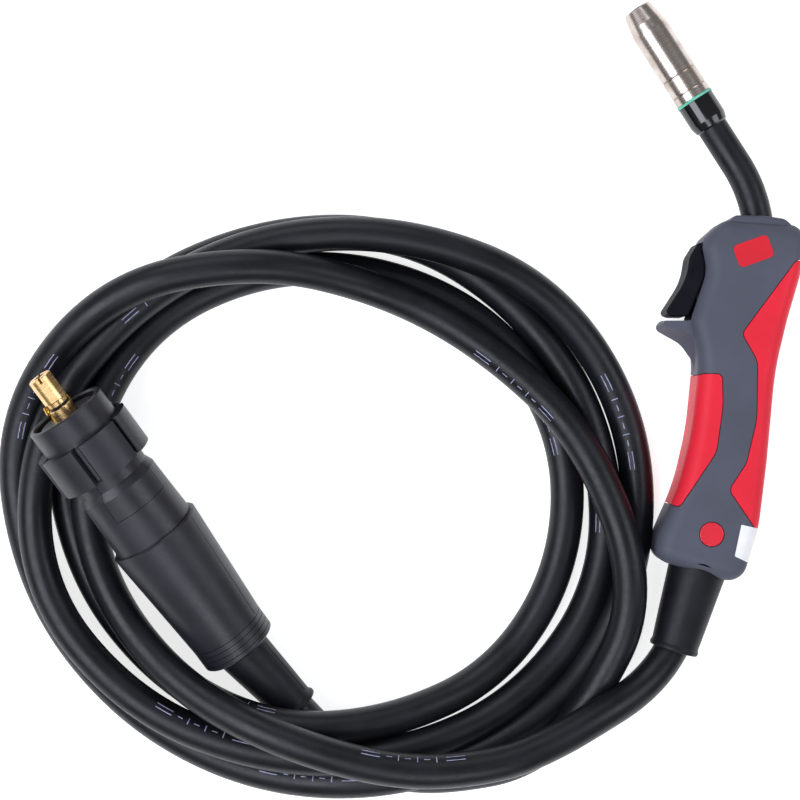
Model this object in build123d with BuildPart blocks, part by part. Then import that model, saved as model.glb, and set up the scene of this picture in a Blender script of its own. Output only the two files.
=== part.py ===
from build123d import *
import math
import os

# A gas-cooled MIG torch: swan-neck gun, coaxial cable wound in a loose coil, and machine plug.
# The gun lies on its side, its mid-plane level, with the muzzle towards +Y. All lengths in mm.

# ---- Driving sizes: gun handle ----
handle_thickness = 36.0
mid_height = handle_thickness / 2
edge_round = 8.0
shell_wall = 3.2
shell_roof = 3.4
grip_depth = 2.2
grip_groove = 0.4
parting_gap = 0.05
seat_gap = 0.1
hook_half = 12.5
cap_place = (-2.6, -100.9)
cap_diameter = 11.8
screw_diameter = 3.0

# ---- Driving sizes: swan neck and front end ----
neck_exit = (22.75, 56.5)
neck_lean = 10.0
neck_bend = 22.7
neck_bend_radius = 72.0
neck_straight = 21.9
jacket_diameter = 15.2
conductor_diameter = 10.0
conductor_bore = 4.5
insulator_length = 15.8
insulator_diameter = 18.9
insulator_small_diameter = 17.0
washer_diameter = 19.4
washer_thickness = 1.2
nozzle_length = 53.0
nozzle_diameter = 18.8
nozzle_tip_diameter = 14.6
nozzle_bore = 16.0
nozzle_mouth = 12.0
nozzle_taper = 12.5
tip_diameter = 6.0
tip_length = 28.0
wire_bore = 1.0

# ---- Driving sizes: trigger and switch ----
pivot = (-1.5, 39.0)
pin_diameter = 3.0
trigger_width = 24.0
lever_width = 10.0
trigger_angle = 4.5
switch_place = (6.0, 20.5)
switch_size = (20.0, 6.4, 10.4)
plunger_radius = 1.6

# ---- Driving sizes: gun boot and cable ----
cable_diameter = 17.0
hose_diameter = 13.0
boot_root = (-7.25, -120.25)
boot_lean = 16.5
boot_length = 38.8
boot_root_diameter = 29.4
boot_end_diameter = 23.4
boot_lip_diameter = 24.8
boot_lip = 2.5

# ---- Driving sizes: machine plug ----
plug_rim = (-315.3, -40.2, 63.0)
plug_heading = -55.73
plug_dip = 15.5
skirt_length = 13.6
skirt_diameter = 40.0
nut_length = 34.0
lobe_diameter = 49.0
lobe_count = 6
lobe_phase = 8.0
thread_bore = 34.0
neck_diameter = 36.8
front_end = 55.6
step_place = 73.6
sleeve_diameter = 46.5
sleeve_end = 135.7
sleeve_end_diameter = 39.0
housing_end = 147.1
ring_count = 4
plug_pin_diameter = 12.0
liner_nut_flats = 11.0
liner_nut_corners = 11.7
liner_bore = 5.0
control_pin_diameter = 4.8
control_pin_spots = {"control_pin_a": (-7.2, -10.2), "control_pin_b": (2.1, -12.3)}
plug_boot_end = (-207.1, -188.8, 16.0)

# ---- Cable route ----
coil_centre = (-191.5, -89.0)
lead_points = [(-22.7, -162.6, 18.0), (-29.9, -172.8, 18.0), (-62.0, -191.5, 27.0), (-92.0, -213.0, 33.0)]
tail_points = [(-186.0, -208.5, 10.0), (-200.5, -196.1, 14.2), plug_boot_end]
turn_radii = [
    [132, 112, 114, 120, 128, 133, 127, 123, 125, 126, 123, 120],
    [112, 113, 118, 128, 142, 149, 141, 145, 142, 142, 144, 138],
    [128, 127, 138, 151, 150, 142, 139, 143, 157, 162, 160, 154],
    [141, 141, 145, 155, 168, 153, 127, 113, 114, 134, 161, 170],
]
coil_start = -75.0
turn_step = 30.0
coil_height = 30.0

os.makedirs("parts", exist_ok=True)


def section(frame, *outline):
    """A closed outline of (radius, distance along the frame's z), ready to revolve about that z."""
    with BuildSketch(Plane(frame.origin, x_dir=frame.x_dir, z_dir=-frame.y_dir)) as sketch:
        with BuildLine():
            Polyline(*outline, close=True)
        make_face()
    return sketch.sketch


def spin(frame):
    return Axis(frame.origin, frame.z_dir)


def rounded(plane, corners, grow=0.0):
    """A face from (x, y, corner radius) points, grown outwards by a margin."""
    with BuildSketch(plane) as sketch:
        with BuildLine():
            FilletPolyline(*[(x, y) for x, y, r in corners], radius=[r for x, y, r in corners], close=True)
        make_face()
        if grow:
            offset(amount=grow)
    return sketch.sketch


def keep(part, name):
    part.part.label = name
    export_step(part.part, f"parts/{name}.step")


# ---- Frames ----
def direction(degrees):
    return (math.cos(math.radians(degrees)), math.sin(math.radians(degrees)), 0)


mid_plane = Plane.XY.offset(mid_height)
neck_angle = 90 + neck_lean
muzzle_angle = neck_angle + neck_bend
arc_centre = (
    neck_exit[0] - neck_bend_radius * math.cos(math.radians(neck_lean)),
    neck_exit[1] - neck_bend_radius * math.sin(math.radians(neck_lean)),
)
bend_end = (
    arc_centre[0] + neck_bend_radius * math.cos(math.radians(neck_lean + neck_bend)),
    arc_centre[1] + neck_bend_radius * math.sin(math.radians(neck_lean + neck_bend)),
)
muzzle_dir = direction(muzzle_angle)
muzzle_start = (
    bend_end[0] + neck_straight * muzzle_dir[0],
    bend_end[1] + neck_straight * muzzle_dir[1],
    mid_height,
)
muzzle = Plane(muzzle_start, x_dir=(0, 0, 1), z_dir=muzzle_dir)
inward = direction(neck_angle + 180)
nose = Plane((neck_exit[0], neck_exit[1], mid_height), x_dir=(0, 0, 1), z_dir=inward)
boot_dir = direction(270 - boot_lean)
boot = Plane((boot_root[0], boot_root[1], mid_height), x_dir=(0, 0, 1), z_dir=boot_dir)

# ---- Handle outline: corners of the shells seen from above, (x, y, corner radius) ----
handle_corners = [
    (-7.5, 43.3, 8.2),
    (4.6, 54.0, 9.0),
    (44.6, 51.2, 8.2),
    (43.8, 32.0, 80.0),
    (36.0, 5.5, 120.0),
    (29.8, -20.0, 160.0),
    (25.6, -66.0, 200.0),
    (21.8, -97.0, 60.0),
    (13.0, -126.4, 9.5),
    (-30.6, -113.5, 8.2),
    (-28.2, -101.0, 22.0),
    (-18.0, -78.0, 120.0),
    (-11.4, -50.0, 160.0),
    (-8.0, -16.0, 50.0),
    (-12.6, 4.5, 9.0),
    (-4.4, 28.8, 20.0),
]
hook_corners = [
    (-9.0, -16.5, 10.0),
    (-15.5, -7.2, 14.0),
    (-29.4, 0.6, 2.7),
    (-25.4, 4.6, 2.5),
    (4.0, 4.6, 4.0),
    (4.0, -30.0, 4.0),
    (-7.6, -30.0, 4.0),
]
hook_rim_corners = [
    (-3.0, -13.0, 10.0),
    (-9.6, -3.4, 14.0),
    (-26.2, 2.1, 1.3),
    (-24.6, 4.2, 1.2),
    (4.0, 4.2, 4.0),
    (4.0, -30.0, 4.0),
    (-2.6, -30.0, 2.0),
]
rear_grip_corners = [
    (56.0, 38.0, 0.5),
    (38.6, 32.9, 2.5),
    (12.4, -2.4, 4.0),
    (20.2, -16.0, 14.0),
    (19.6, -45.0, 40.0),
    (14.6, -66.0, 14.0),
    (6.0, -79.2, 4.0),
    (21.6, -101.8, 1.0),
    (56.0, -112.0, 0.5),
]
front_grip_corners = [
    (-20.0, -26.0, 0.5),
    (-6.0, -22.2, 8.0),
    (2.4, -22.4, 2.5),
    (2.8, -38.0, 60.0),
    (-0.4, -60.5, 14.0),
    (-18.4, -87.6, 2.5),
    (-40.0, -79.5, 0.5),
]
badge_corners = [(11.2, 29.5, 2.5), (28.2, 35.6, 2.5), (24.4, 46.4, 2.5), (7.4, 40.3, 2.5)]
badge_thickness = 0.3
sticker_corners = [(11.9, -96.1, 0.4), (25.5, -99.4, 0.4), (22.0, -118.0, 0.4), (8.6, -111.6, 0.4)]
sticker_thickness = 0.2
blade_corners = [
    (-8.0, 43.0, 1.6),
    (-12.4, 36.0, 8.0),
    (-14.2, 24.5, 30.0),
    (-24.8, 8.0, 2.0),
    (-21.2, 6.4, 2.0),
    (-13.0, 6.3, 3.0),
    (-3.1, 29.7, 20.0),
    (-6.2, 38.6, 4.0),
    (-5.4, 42.0, 1.6),
]


def slab(corners, grow, half, round_radius):
    """An outline at mid height, as thick as twice half, with both its rims rounded."""
    with BuildPart() as solid:
        extrude(rounded(mid_plane, corners, grow), amount=half + grow, both=True)
        rims = solid.edges().filter_by(lambda e: abs(abs(e.center().Z - mid_height) - half - grow) < 1e-3)
        fillet(rims, round_radius + grow)
    return solid.part


def hook(grow):
    """The finger guard, widest at mid height and drawn in towards both of its faces."""
    low, high = mid_plane.offset(-hook_half - grow), mid_plane.offset(hook_half + grow)
    with BuildPart() as guard:
        loft([rounded(low, hook_rim_corners, grow), rounded(mid_plane, hook_corners, grow),
              rounded(high, hook_rim_corners, grow)], ruled=True)
    return guard.part


def handle_form(grow=0.0):
    """The outer form of the two shells together, grown outwards by a margin."""
    return slab(handle_corners, grow, mid_height, edge_round) + hook(grow)


whole = handle_form()
core = slab(handle_corners, -grip_depth, mid_height, edge_round)
band = whole - core
cavity = extrude(rounded(mid_plane, handle_corners, -shell_wall), amount=mid_height - shell_roof, both=True)
floor_side = Plane.XY.offset(-1)
rear_zone = extrude(rounded(floor_side, rear_grip_corners), amount=handle_thickness + 2)
front_zone = extrude(rounded(floor_side, front_grip_corners), amount=handle_thickness + 2)
rear_pocket = extrude(rounded(floor_side, rear_grip_corners, grip_groove), amount=handle_thickness + 2)
front_pocket = extrude(rounded(floor_side, front_grip_corners, grip_groove), amount=handle_thickness + 2)

# ---- Places inside the handle ----
screw_places = [(5.0, 46.5), (8.6, -6.8), (14.2, -100.0), (-16.5, -97.0)]
screw_boss = 4.0
jacket_depth = 15.0
block_start = 8.0
block_length = 18.0
block_flats = 20.0
block_groove = (14.0, 20.0)
groove_radius = 8.0
flange_radius = 17.2
flange_place = -7.0
flange_thick = 3.0

# ---- Room for the trigger, its lever and its swing ----
with BuildPart() as trigger_room:
    extrude(rounded(mid_plane, blade_corners, 0.6), amount=trigger_width / 2 + 0.4, both=True)
    with BuildSketch(mid_plane):
        with BuildLine():
            Polyline((-26, 4.6), (-9, 4.6), (-4, 10), (2.5, 29), (0, 36), (-9, 42), (-20, 30), close=True)
        make_face()
    extrude(amount=trigger_width / 2 + 0.4, both=True)
    with BuildSketch(mid_plane):
        with Locations(pivot):
            Circle(4.6)
        with Locations((pivot[0] - 4, pivot[1] - 1)):
            Rectangle(8, 7)
    extrude(amount=lever_width / 2 + 0.4, both=True)


def shell(side):
    """One half of the handle: side is 1 for the upper shell and -1 for the lower one."""
    with BuildPart() as half:
        add(whole)
        add(cavity, mode=Mode.SUBTRACT)
        # inner bosses and ribs, then trimmed to the outer form
        with BuildSketch(mid_plane):
            with Locations(*screw_places):
                Circle(screw_boss)
            with Locations(pivot):
                Circle(4.2)
        extrude(amount=mid_height - 1, both=True)
        with BuildSketch(nose.offset(block_groove[0] + seat_gap)):
            Rectangle(handle_thickness - 4, 34)
        extrude(amount=block_groove[1] - block_groove[0] - 2 * seat_gap)
        with BuildSketch(boot.offset(flange_place - 3.2)):
            Rectangle(handle_thickness - 4, 42)
        extrude(amount=flange_thick + 7.5)
        add(whole, mode=Mode.INTERSECT)
        add(trigger_room.part, mode=Mode.SUBTRACT)
        # the grips' pockets
        add((rear_pocket + front_pocket) & band, mode=Mode.SUBTRACT)
        # brass block, neck and boot
        revolve(section(nose, (0, -6), (jacket_diameter / 2 + seat_gap, -6),
                        (jacket_diameter / 2 + seat_gap, block_start - seat_gap), (11.7, block_start - seat_gap),
                        (11.7, block_groove[0] + seat_gap), (groove_radius + seat_gap, block_groove[0] + seat_gap),
                        (groove_radius + seat_gap, block_groove[1] - seat_gap), (11.7, block_groove[1] - seat_gap),
                        (11.7, block_start + block_length + 2), (0, block_start + block_length + 2)),
                axis=spin(nose), mode=Mode.SUBTRACT)
        revolve(section(boot, (0, -24), (cable_diameter / 2 + 3, -24), (cable_diameter / 2 + 3, -12),
                        (flange_radius - 2.2, -12), (flange_radius - 2.2, flange_place - seat_gap),
                        (flange_radius + 0.2, flange_place - seat_gap),
                        (flange_radius + 0.2, flange_place + flange_thick + seat_gap),
                        (boot_root_diameter / 2 + 0.6, flange_place + flange_thick + seat_gap),
                        (boot_root_diameter / 2 + 0.6, 12), (0, 12)),
                axis=spin(boot), mode=Mode.SUBTRACT)
        # the cap's pocket, the pin holes and the screw holes
        with BuildSketch(Plane.XY.offset(handle_thickness - 1.4)):
            with Locations(cap_place):
                Circle(cap_diameter / 2 + grip_groove)
        extrude(amount=3, mode=Mode.SUBTRACT)
        with BuildSketch(Plane.XY.offset(2.5)):
            with Locations(pivot):
                Circle(pin_diameter / 2 + 0.02)
        extrude(amount=handle_thickness - 5, mode=Mode.SUBTRACT)
        with BuildSketch(Plane.XY.offset(4)):
            with Locations(*screw_places):
                Circle(screw_diameter / 2 + 0.05)
        extrude(amount=26, mode=Mode.SUBTRACT)
        with BuildSketch(Plane.XY.offset(-1)):
            with Locations(*screw_places):
                Circle(screw_diameter + 0.3)
        extrude(amount=5, mode=Mode.SUBTRACT)
        split(bisect_by=mid_plane.offset(side * parting_gap / 2), keep=Keep.TOP if side > 0 else Keep.BOTTOM)
    return half


upper_shell = shell(1)
keep(upper_shell, "handle_shell_upper")
lower_shell = shell(-1)
keep(lower_shell, "handle_shell_lower")


def grip(zone, side):
    """The soft overmould of one zone on one shell, sitting in that shell's pocket."""
    with BuildPart() as pad:
        add(zone & band)
        split(bisect_by=mid_plane.offset(side * parting_gap / 2), keep=Keep.TOP if side > 0 else Keep.BOTTOM)
    return pad


for zone, zone_name in ((rear_zone, "rear"), (front_zone, "front")):
    for side, side_name in ((1, "upper"), (-1, "lower")):
        keep(grip(zone, side), f"grip_{zone_name}_{side_name}")

# ---- Nose ring ----
nose_ring_corners = [(4.6, 50.6), (9.8, 56.2), (24.0, 56.0), (34.6, 54.4), (38.4, 50.8), (38.0, 47.0), (5.0, 47.6)]
nose_ring_half = 13.5
with BuildPart() as nose_ring:
    with BuildSketch(mid_plane):
        with BuildLine():
            FilletPolyline(*nose_ring_corners, radius=[1, 3, 12, 6, 1, 1, 1], close=True)
        make_face()
    extrude(amount=nose_ring_half, both=True)
    fillet(nose_ring.edges().filter_by(lambda e: abs(abs(e.center().Z - mid_height) - nose_ring_half) < 1e-3
                                       and e.center().Y > 52.5), 2.0)
    add(whole, mode=Mode.SUBTRACT)
    revolve(section(nose, (0, -8), (jacket_diameter / 2 + 0.05, -8), (jacket_diameter / 2 + 0.05, 12), (0, 12)),
            axis=spin(nose), mode=Mode.SUBTRACT)
keep(nose_ring, "nose_ring")

# ---- Red cap, badge and sticker ----
with BuildPart() as cap:
    with BuildSketch(Plane.XY.offset(handle_thickness - 1.4)):
        with Locations(cap_place):
            Circle(cap_diameter / 2)
    extrude(amount=1.3)
    fillet(cap.faces().sort_by(Axis.Z)[-1].edges(), 0.4)
keep(cap, "cap")

for label_name, corners, thickness in (("badge", badge_corners, badge_thickness),
                                       ("sticker", sticker_corners, sticker_thickness)):
    with BuildPart() as label:
        extrude(rounded(mid_plane, corners), amount=mid_height + 1)
        add(handle_form(thickness), mode=Mode.INTERSECT)
        add(whole, mode=Mode.SUBTRACT)
    keep(label, label_name)

# ---- Screws that close the shells from below ----
with BuildPart() as handle_screws:
    with Locations(*[(x, y, 1.4) for x, y in screw_places]):
        Cylinder(screw_diameter, 2.6, align=(Align.CENTER, Align.CENTER, Align.MIN))
    with BuildSketch(Plane.XY.offset(2.0)):
        with Locations(*screw_places):
            Circle(screw_diameter / 2)
    extrude(amount=26)
    with BuildSketch(Plane.XY.offset(1.4)):
        with Locations(*screw_places):
            Rectangle(3.4, 0.8)
            Rectangle(0.8, 3.4)
    extrude(amount=1.2, mode=Mode.SUBTRACT)
keep(handle_screws, "handle_screws")

# ---- Swan neck ----
block_end = block_start + block_length
jacket_root = nose.from_local_coords((0, 0, block_start + 4.0))
core_root = nose.from_local_coords((0, 0, jacket_depth))
with BuildLine() as neck_line:
    first = Line(jacket_root, nose.origin)
    bend = TangentArc(first @ 1, (bend_end[0], bend_end[1], mid_height), tangent=first % 1)
    Line(bend @ 1, muzzle.from_local_coords((0, 0, 4)))
with BuildLine() as core_line:
    inner = Line(core_root, nose.origin)
    turn = TangentArc(inner @ 1, (bend_end[0], bend_end[1], mid_height), tangent=inner % 1)
    Line(turn @ 1, muzzle.from_local_coords((0, 0, 3.9)))


def tube_section(frame, outer, bore):
    with BuildSketch(frame) as sketch:
        Circle(outer / 2)
        Circle(bore / 2, mode=Mode.SUBTRACT)
    return sketch.sketch


with BuildPart() as neck_jacket:
    sweep(tube_section(Plane(jacket_root, x_dir=(0, 0, 1), z_dir=-nose.z_dir), jacket_diameter,
                       conductor_diameter + 0.1), path=neck_line.line)
keep(neck_jacket, "neck_jacket")

with BuildPart() as neck_conductor:
    sweep(tube_section(Plane(core_root, x_dir=(0, 0, 1), z_dir=-nose.z_dir), conductor_diameter,
                       conductor_bore), path=core_line.line)
keep(neck_conductor, "neck_conductor")

with BuildPart() as neck_block:
    with BuildSketch(nose.offset(block_start)):
        RegularPolygon(block_flats / 2, 6, major_radius=False)
    extrude(amount=block_length)
    revolve(section(nose, (groove_radius, block_groove[0]), (14, block_groove[0]), (14, block_groove[1]),
                    (groove_radius, block_groove[1])), axis=spin(nose), mode=Mode.SUBTRACT)
    with BuildSketch(nose.offset(block_start)):
        Circle(conductor_diameter / 2 + 0.02)
    extrude(amount=jacket_depth - block_start, mode=Mode.SUBTRACT)
    with BuildSketch(nose.offset(block_start)):
        Circle(jacket_diameter / 2 + 0.05)
    extrude(amount=4.0, mode=Mode.SUBTRACT)
    with BuildSketch(nose.offset(block_start)):
        Circle(conductor_bore / 2)
    extrude(amount=block_length, mode=Mode.SUBTRACT)
    rear_face = neck_block.faces().sort_by(spin(nose))[-1]
    chamfer(rear_face.outer_wire().edges(), 0.8)
keep(neck_block, "neck_block")

# ---- Front end: insulator, washer, tip holder, contact tip, spring and gas nozzle ----
washer_place = insulator_length
nozzle_place = insulator_length + washer_thickness
nozzle_end = nozzle_place + nozzle_length
shank_radius = 4.95
with BuildPart() as neck_insulator:
    big = insulator_diameter / 2
    small = insulator_small_diameter / 2
    revolve(section(muzzle, (jacket_diameter / 2 + 0.05, 0), (small - 0.8, 0), (small, 0.8), (big, 4.2),
                    (big, insulator_length - 0.3), (big - 0.3, insulator_length), (shank_radius + 0.05, insulator_length),
                    (shank_radius + 0.05, 4.0), (jacket_diameter / 2 + 0.05, 4.0)), axis=spin(muzzle))
keep(neck_insulator, "neck_insulator")

with BuildPart() as insulator_washer:
    revolve(section(muzzle, (shank_radius + 0.05, washer_place), (washer_diameter / 2, washer_place),
                    (washer_diameter / 2, nozzle_place), (shank_radius + 0.05, nozzle_place)), axis=spin(muzzle))
keep(insulator_washer, "insulator_washer")

holder_end = 45.0
tip_seat = 39.0
spring_place = 22.5
spring_wire = 1.0
with BuildPart() as tip_holder:
    revolve(section(muzzle, (conductor_bore / 2, 3.9), (shank_radius, 3.9), (shank_radius, nozzle_place),
                    (7.3, nozzle_place), (7.3, spring_place - 0.8), (6.8, spring_place - 0.5),
                    (6.8, spring_place + 0.5), (7.3, spring_place + 0.8), (7.3, 27.0), (6.0, 28.5),
                    (6.0, 38.0), (5.4, tip_seat), (conductor_bore / 2, tip_seat)), axis=spin(muzzle))
    with BuildSketch(Plane(muzzle.from_local_coords((0, 0, 33)), x_dir=muzzle.z_dir, z_dir=muzzle.x_dir)):
        Circle(1.0)
    extrude(amount=10, both=True, mode=Mode.SUBTRACT)
    with BuildSketch(Plane(muzzle.from_local_coords((0, 0, 33)), x_dir=muzzle.z_dir, z_dir=muzzle.y_dir)):
        Circle(1.0)
    extrude(amount=10, both=True, mode=Mode.SUBTRACT)
keep(tip_holder, "tip_holder")

with BuildPart() as tip_ferrule:
    revolve(section(muzzle, (tip_diameter / 2 + 0.02, tip_seat), (5.0, tip_seat), (5.0, holder_end),
                    (tip_diameter / 2 + 0.02, holder_end)), axis=spin(muzzle))
keep(tip_ferrule, "tip_ferrule")

tip_end = tip_seat + tip_length
with BuildPart() as contact_tip:
    radius = tip_diameter / 2
    revolve(section(muzzle, (wire_bore / 2, tip_seat), (radius - 0.4, tip_seat), (radius, tip_seat + 0.4),
                    (radius, tip_end - 5), (radius - 1.0, tip_end), (wire_bore / 2, tip_end)), axis=spin(muzzle))
keep(contact_tip, "contact_tip")

with BuildPart() as nozzle_spring:
    with BuildLine(muzzle.offset(spring_place)) as spring_line:
        CenterArc((0, 0), 6.8 + spring_wire / 2 + 0.02, 20, 320)
    with BuildSketch(Plane(spring_line.line @ 0, z_dir=spring_line.line % 0)):
        Circle(spring_wire / 2)
    sweep()
keep(nozzle_spring, "nozzle_spring")

with BuildPart() as gas_nozzle:
    out = nozzle_diameter / 2
    tip = nozzle_tip_diameter / 2
    bore = nozzle_bore / 2
    revolve(section(muzzle, (bore, nozzle_place), (out - 0.3, nozzle_place), (out, nozzle_place + 0.3),
                    (out, nozzle_place + 4.0), (out - 0.6, nozzle_place + 4.5), (out, nozzle_place + 5.0),
                    (out, nozzle_place + 13.5), (out - 0.6, nozzle_place + 14.0), (out, nozzle_place + 14.5),
                    (out, nozzle_end - nozzle_taper), (out - 0.55, nozzle_end - 0.66 * nozzle_taper),
                    (tip, nozzle_end - 0.5), (tip - 0.4, nozzle_end), (nozzle_mouth / 2, nozzle_end),
                    (nozzle_mouth / 2, nozzle_end - 4), (bore - 0.6, nozzle_end - nozzle_taper),
                    (bore - 0.6, nozzle_place + 22), (bore, nozzle_place + 20)), axis=spin(muzzle))
keep(gas_nozzle, "gas_nozzle")

# ---- Trigger, pin, microswitch ----
with BuildPart() as trigger:
    extrude(rounded(mid_plane, blade_corners), amount=trigger_width / 2, both=True)
    fillet(trigger.edges().filter_by(lambda e: abs(abs(e.center().Z - mid_height) - trigger_width / 2) < 1e-3
                                     and e.center().X < -9), 1.6)
    with BuildSketch(mid_plane):
        with Locations(pivot):
            Circle(3.6)
        with BuildLine():
            Polyline((-6.5, 41.5), pivot, (1.0, 30.0), (-2.0, 20.0), (-6.0, 14.0), (-7.5, 26.0), close=True)
        make_face()
    extrude(amount=lever_width / 2, both=True)
    with BuildSketch(mid_plane):
        with Locations(pivot):
            Circle(pin_diameter / 2 + 0.05)
    extrude(amount=lever_width, both=True, mode=Mode.SUBTRACT)
keep(trigger, "trigger")

with BuildPart() as trigger_pin:
    with BuildSketch(Plane.XY.offset(2.8)):
        with Locations(pivot):
            Circle(pin_diameter / 2)
    extrude(amount=handle_thickness - 5.6)
    chamfer(trigger_pin.edges(), 0.3)
keep(trigger_pin, "trigger_pin")

# the switch stands behind the lever, square to the line from the pivot
switch_far, switch_deep, switch_tall = switch_size
switch_turn = 14.0
switch_frame = Plane((switch_place[0], switch_place[1], mid_height), x_dir=direction(90 - switch_turn),
                     z_dir=(0, 0, 1))
plunger_front = 4.2
with BuildPart() as microswitch:
    with BuildSketch(switch_frame):
        Rectangle(switch_far, switch_deep)
    extrude(amount=switch_tall / 2, both=True)
    fillet(microswitch.edges().filter_by(Axis.Z), 0.6)
    with BuildSketch(switch_frame):
        with Locations((-6.5, 0), (6.5, 0)):
            Circle(1.25)
    extrude(amount=switch_tall, both=True, mode=Mode.SUBTRACT)
    with BuildSketch(Plane(switch_frame.from_local_coords((2.5, 0, 0)), x_dir=switch_frame.x_dir,
                           z_dir=switch_frame.y_dir)):
        Circle(plunger_radius + 0.05)
    extrude(amount=switch_deep / 2, mode=Mode.SUBTRACT)
    with BuildSketch(Plane(switch_frame.from_local_coords((0, -switch_deep / 2, 0)), x_dir=switch_frame.x_dir,
                           z_dir=-switch_frame.y_dir)):
        with Locations((-6, 0), (6, 0)):
            Rectangle(0.8, 3.0)
    extrude(amount=3.0)
keep(microswitch, "microswitch")

with BuildPart() as switch_plunger:
    with BuildSketch(Plane(switch_frame.from_local_coords((2.5, 1.9, 0)), x_dir=switch_frame.x_dir,
                           z_dir=switch_frame.y_dir)):
        Circle(plunger_radius)
    extrude(amount=plunger_front - 1.9)
    chamfer(switch_plunger.faces().sort_by(Axis(switch_frame.origin, switch_frame.y_dir))[-1].edges(), 0.3)
keep(switch_plunger, "switch_plunger")

# ---- Power hose, sheath and gun boot ----
hose_root = nose.from_local_coords((0, 0, block_end))
sheath_root = boot.from_local_coords((0, 0, -52.0))
with BuildPart() as power_hose:
    with BuildLine() as hose_line:
        FilletPolyline(hose_root, nose.from_local_coords((0, 0, block_end + 10)),
                       boot.from_local_coords((0, 0, -52.4)), radius=30.0)
    with BuildSketch(Plane(hose_root, x_dir=(0, 0, 1), z_dir=nose.z_dir)):
        Circle(hose_diameter / 2)
        Circle(conductor_bore / 2, mode=Mode.SUBTRACT)
    sweep()
keep(power_hose, "power_hose")

with BuildPart() as cable_sheath:
    with BuildLine() as sheath_line:
        straight = Line(sheath_root, boot.from_local_coords((0, 0, boot_length - 10.5)))
        TangentArc(straight @ 1, lead_points[0], tangent=straight % 1)
    with BuildSketch(Plane(sheath_root, x_dir=(0, 0, 1), z_dir=straight % 0)):
        Circle(cable_diameter / 2)
    sweep()
keep(cable_sheath, "cable_sheath")

with BuildPart() as switch_leads:
    lead_gauge = 1.4
    entry = boot.from_local_coords((0, 7.4, -52.6))
    for level in (-1.0, 1.0):
        start = switch_frame.from_local_coords((-6.0, -switch_deep / 2 - 3.9, level))
        lift = Vector(0, 0, level * 0.4)
        with BuildLine() as wire:
            FilletPolyline(start, Vector(3.0, -2, start.Z), Vector(1.0, -50, start.Z) + lift,
                           entry + Vector(0, 0, start.Z - mid_height) + lift, radius=[6.0, 12.0])
        with BuildSketch(Plane(wire.line @ 0, z_dir=wire.line % 0)):
            Circle(lead_gauge / 2)
        sweep(path=wire.line)
keep(switch_leads, "switch_leads")

with BuildPart() as gun_boot:
    root = boot_root_diameter / 2
    end = boot_end_diameter / 2
    mouth = cable_diameter / 2 + 0.1
    lip = boot_lip_diameter / 2
    revolve(section(boot, (mouth, flange_place), (flange_radius, flange_place),
                    (flange_radius, flange_place + flange_thick), (root, flange_place + flange_thick), (root, 0),
                    (end, boot_length), (lip - 0.3, boot_length), (lip, boot_length + 0.4),
                    (lip, boot_length + boot_lip - 0.4), (lip - 0.4, boot_length + boot_lip),
                    (lip - 1.5, boot_length + boot_lip), (lip - 2.2, boot_length), (mouth + 0.5, boot_length - 5),
                    (mouth, boot_length - 11),
                    (mouth, 0)), axis=spin(boot))
keep(gun_boot, "gun_boot")

# ---- Machine plug ----
dip = math.radians(plug_dip)
heading = math.radians(plug_heading)
plug_axis = (math.cos(heading) * math.cos(dip), math.sin(heading) * math.cos(dip), -math.sin(dip))
plug = Plane(plug_rim, x_dir=(-math.sin(heading), math.cos(heading), 0), z_dir=plug_axis)
carrier_place = 2.0
pin_shoulder = 1.5
stem_radius = 5.6
flange_front = 21.5
shoulder = 26.0
nut_bore = neck_diameter / 2 + 0.1
carrier_radius = 15.0

with BuildPart() as coupling_nut:
    skirt = skirt_diameter / 2
    revolve(section(plug, (thread_bore / 2 + 0.8, 0), (skirt - 0.6, 0), (skirt, 0.6), (skirt, skirt_length + 1),
                    (skirt + 1, skirt_length + 1), (skirt + 1, nut_length - 1), (skirt, nut_length), (nut_bore, nut_length),
                    (nut_bore, shoulder), (skirt - 0.5, shoulder), (skirt - 0.5, 20), (thread_bore / 2, 20),
                    (thread_bore / 2, 0.8)), axis=spin(plug))
    with BuildSketch(plug.offset(skirt_length)):
        with PolarLocations((lobe_diameter / 2 + skirt) / 2 - 0.6, lobe_count, start_angle=lobe_phase):
            RectangleRounded(lobe_diameter / 2 - skirt + 1.2, 20.6, 1.6)
        Circle(lobe_diameter / 2, mode=Mode.INTERSECT)
        Circle(skirt - 0.4, mode=Mode.SUBTRACT)
    extrude(amount=nut_length - skirt_length)
keep(coupling_nut, "coupling_nut")

with BuildPart() as plug_face:
    revolve(section(plug, (stem_radius + 0.05, carrier_place), (carrier_radius - 0.5, carrier_place),
                    (carrier_radius, carrier_place + 0.5), (carrier_radius, flange_front),
                    (stem_radius + 0.05, flange_front)), axis=spin(plug))
    with BuildSketch(plug):
        with Locations(*control_pin_spots.values()):
            Circle(control_pin_diameter / 2 + 0.05)
    extrude(amount=flange_front - 2.0, mode=Mode.SUBTRACT)
keep(plug_face, "plug_face")

pin_reach = 5.0
for pin_name, pin_spot in control_pin_spots.items():
    spot = Plane(plug.from_local_coords((pin_spot[0], pin_spot[1], -pin_reach)), x_dir=plug.x_dir, z_dir=plug.z_dir)
    with BuildPart() as control_pin:
        half = control_pin_diameter / 2
        revolve(section(spot, (0, 0), (half - 0.8, 0), (half - 0.25, 0.9), (half - 0.25, 2.2), (half, 2.7),
                        (half, 20.0), (0, 20.0)), axis=spin(spot))
    keep(control_pin, pin_name)

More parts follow.
